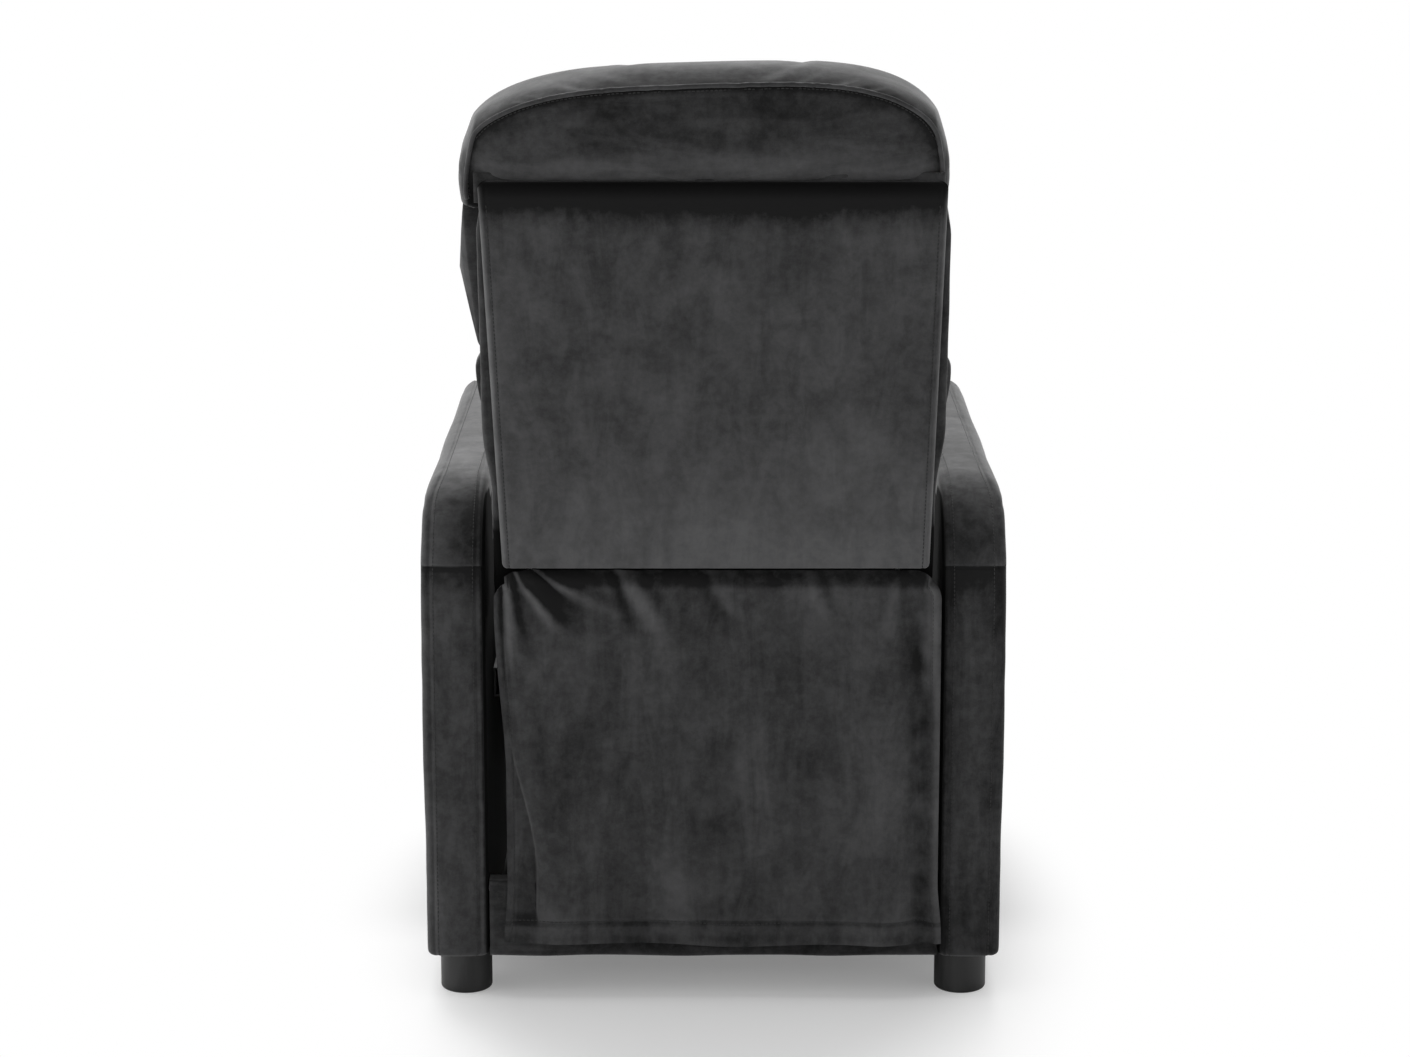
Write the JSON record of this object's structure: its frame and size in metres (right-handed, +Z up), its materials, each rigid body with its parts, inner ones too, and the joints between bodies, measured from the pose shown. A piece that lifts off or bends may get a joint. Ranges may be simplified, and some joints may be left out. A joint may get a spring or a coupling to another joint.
{
  "type": "recliner chair",
  "caption": "Push-back recliner in dark velvet with slim box arms, a channelled back, a loose rear flap and a footrest that unfolds as the seat slides forward.",
  "frame": {"origin": "centre of the chair's footprint box on the floor", "axes": "+Z up, the sitter faces -Y, +X is the sitter's left"},
  "size_m": [0.64, 0.8304, 1.0566],
  "materials": {
    "velvet": "short-pile velvet",
    "foot_plastic": "satin black",
    "timber": "sawn softwood",
    "painted_steel": "satin black",
    "zinc_steel": "zinc plated",
    "spring_steel": "oiled wire",
    "webbing": "woven elastic",
    "roller_nylon": "natural nylon"
  },
  "bodies": {
    "base": {"arm_cover_left": "velvet", "arm_cover_right": "velvet", "arm_frame_left": "timber", "arm_frame_right": "timber", "foot_rear_left": "foot_plastic", "foot_rear_right": "foot_plastic", "foot_front_left": "foot_plastic", "foot_front_right": "foot_plastic", "foot_studs": "zinc_steel", "base_rail_rear": "velvet", "base_rail_front": "velvet", "rail_bolts": "zinc_steel", "track_left": "painted_steel", "track_right": "painted_steel", "drive_bracket_left": "painted_steel", "drive_bracket_right": "painted_steel", "mechanism_bolts": "zinc_steel", "rear_flap": "velvet"},
    "seat_carriage": {"seat_plate_left": "painted_steel", "seat_plate_right": "painted_steel", "pivot_pins": "zinc_steel", "roller_shafts": "zinc_steel", "seat_side_rails": "timber", "seat_front_rail": "timber", "seat_rear_rail": "timber", "seat_bolts": "zinc_steel", "seat_cross_tube": "painted_steel", "seat_springs": "spring_steel", "spring_clips": "zinc_steel", "seat_cushion": "velvet"},
    "front_roller_pair": {"front_rollers": "roller_nylon"},
    "rear_roller_pair": {"rear_rollers": "roller_nylon"},
    "backrest": {"back_stile_left": "timber", "back_stile_right": "timber", "back_bracket_left": "painted_steel", "back_bracket_right": "painted_steel", "back_bolts": "zinc_steel", "back_bottom_rail": "timber", "back_middle_rail": "timber", "back_top_rail": "timber", "back_webbing": "webbing", "back_panel": "velvet", "head_pad": "velvet", "middle_pad": "velvet", "lumbar_pad": "velvet"},
    "front_swing": {"front_link_left": "painted_steel", "front_link_right": "painted_steel", "knee_tube": "painted_steel"},
    "rear_swing": {"rear_link_left": "painted_steel", "rear_link_right": "painted_steel"},
    "coupler_pair": {"coupler_link_left": "painted_steel", "coupler_link_right": "painted_steel"},
    "steer_pair": {"steer_link_left": "painted_steel", "steer_link_right": "painted_steel"},
    "footrest": {"footrest_bracket_left": "painted_steel", "footrest_bracket_right": "painted_steel", "footrest_board": "timber", "footrest_screws": "zinc_steel", "footrest_pad": "velvet"}
  },
  "joints": [
    {"name": "seat_slide", "type": "slide", "parent": "base", "child": "seat_carriage", "axis": [0, -1, 0], "range_m": [0, 0.08], "deforming": ["rear_flap"]},
    {"name": "front_roller_turn", "type": "hinge", "parent": "seat_carriage", "child": "front_roller_pair", "pos_m": [0, -0.1165, 0.33], "axis": [1, 0, 0], "range_deg": [0, 327.45]},
    {"name": "rear_roller_turn", "type": "hinge", "parent": "seat_carriage", "child": "rear_roller_pair", "pos_m": [0, 0.1335, 0.33], "axis": [1, 0, 0], "range_deg": [0, 327.45]},
    {"name": "back_recline", "type": "hinge", "parent": "seat_carriage", "child": "backrest", "pos_m": [0, 0.2305, 0.4], "axis": [-1, 0, 0], "range_deg": [0, 35]},
    {"name": "front_link_swing", "type": "hinge", "parent": "seat_carriage", "child": "front_swing", "pos_m": [0, -0.3065, 0.285], "axis": [-1, 0, 0], "range_deg": [0, 90.05]},
    {"name": "rear_link_swing", "type": "hinge", "parent": "seat_carriage", "child": "rear_swing", "pos_m": [0, -0.2165, 0.285], "axis": [-1, 0, 0], "range_deg": [0, 90.05]},
    {"name": "coupler_turn", "type": "hinge", "parent": "front_swing", "child": "coupler_pair", "pos_m": [0, -0.18983, 0.16833], "axis": [-1, 0, 0], "range_deg": [-90.05, 0]},
    {"name": "steer_turn", "type": "hinge", "parent": "front_swing", "child": "steer_pair", "pos_m": [0, -0.194, 0.13862], "axis": [-1, 0, 0], "range_deg": [-90.05, 0]},
    {"name": "footrest_turn", "type": "hinge", "parent": "coupler_pair", "child": "footrest", "pos_m": [0, -0.2995, 0.33], "axis": [-1, 0, 0], "range_deg": [0, 90.05]}
  ],
  "couplings": [
    {"joint": "front_roller_turn", "follows": "seat_slide", "rad_per_m": 71.429},
    {"joint": "rear_roller_turn", "follows": "seat_slide", "rad_per_m": 71.429},
    {"joint": "front_link_swing", "follows": "seat_slide", "rad_per_m": 19.635},
    {"joint": "rear_link_swing", "follows": "seat_slide", "rad_per_m": 19.635},
    {"joint": "coupler_turn", "follows": "seat_slide", "rad_per_m": -19.635},
    {"joint": "steer_turn", "follows": "seat_slide", "rad_per_m": -19.635},
    {"joint": "footrest_turn", "follows": "seat_slide", "rad_per_m": 19.635}
  ]
}
